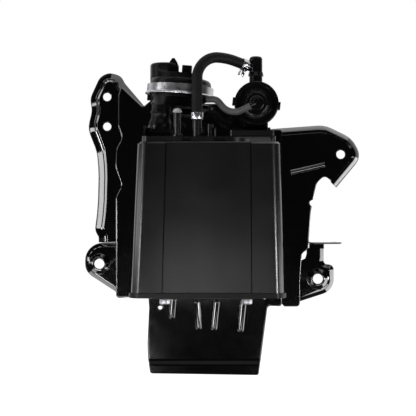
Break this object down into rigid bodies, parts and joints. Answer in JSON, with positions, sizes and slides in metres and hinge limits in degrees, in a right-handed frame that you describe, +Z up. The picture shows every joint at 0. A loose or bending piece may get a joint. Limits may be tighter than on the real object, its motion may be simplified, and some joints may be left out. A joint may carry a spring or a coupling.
{
  "type": "charcoal canister",
  "caption": "Black vapour canister on a stamped steel bracket with mounting ears and a guard flap, carrying a pump, a round valve and two hoses.",
  "frame": {"origin": "the bolt hole in the lower left ear, at the rear face of the ear's raised pad", "axes": "+Z up as mounted, +X to the right seen from the front, +Y to the rear, away from the canister's front face"},
  "size_m": [0.3114, 0.1202, 0.3533],
  "materials": {
    "case_plastic": "satin black moulded nylon",
    "pump_plastic": "matt black moulded plastic",
    "bracket_paint": "glossy black paint on pressed steel",
    "charcoal": "packed charcoal pellets",
    "filter_felt": "pressed felt",
    "spring_steel": "plain spring wire",
    "zinc": "zinc-plated steel",
    "brass": "turned brass",
    "band_steel": "bright steel strip",
    "clip_steel": "bright spring steel",
    "motor_steel": "drawn steel can",
    "seal_rubber": "soft black rubber",
    "hose_rubber": "dark moulded rubber",
    "line_rubber": "dark grey rubber"
  },
  "bodies": {
    "root": {"canister_case": "case_plastic", "base_cover": "case_plastic", "charcoal_main": "charcoal", "charcoal_vent": "charcoal", "filter_main_top": "filter_felt", "filter_vent_top": "filter_felt", "filter_main_low": "filter_felt", "filter_vent_low": "filter_felt", "grid_main": "case_plastic", "grid_vent": "case_plastic", "bed_springs": "spring_steel", "back_plate": "bracket_paint", "left_wing": "bracket_paint", "left_ear": "bracket_paint", "right_wing": "bracket_paint", "right_ear": "bracket_paint", "shelf": "bracket_paint", "base_bolts": "zinc", "inserts": "brass", "pump_housing": "pump_plastic", "pump_cap": "pump_plastic", "clamp_band": "band_steel", "cap_seal": "seal_rubber", "neck_seal": "seal_rubber", "pump_motor": "motor_steel", "pump_filter": "filter_felt", "connector_pins": "brass", "valve_body": "case_plastic", "valve_cover": "case_plastic", "valve_diaphragm": "seal_rubber", "valve_spring": "spring_steel", "vapour_hose": "hose_rubber", "hose_clip_low": "clip_steel", "hose_clip_high": "clip_steel", "sensing_hose": "line_rubber"}
  },
  "joints": []
}
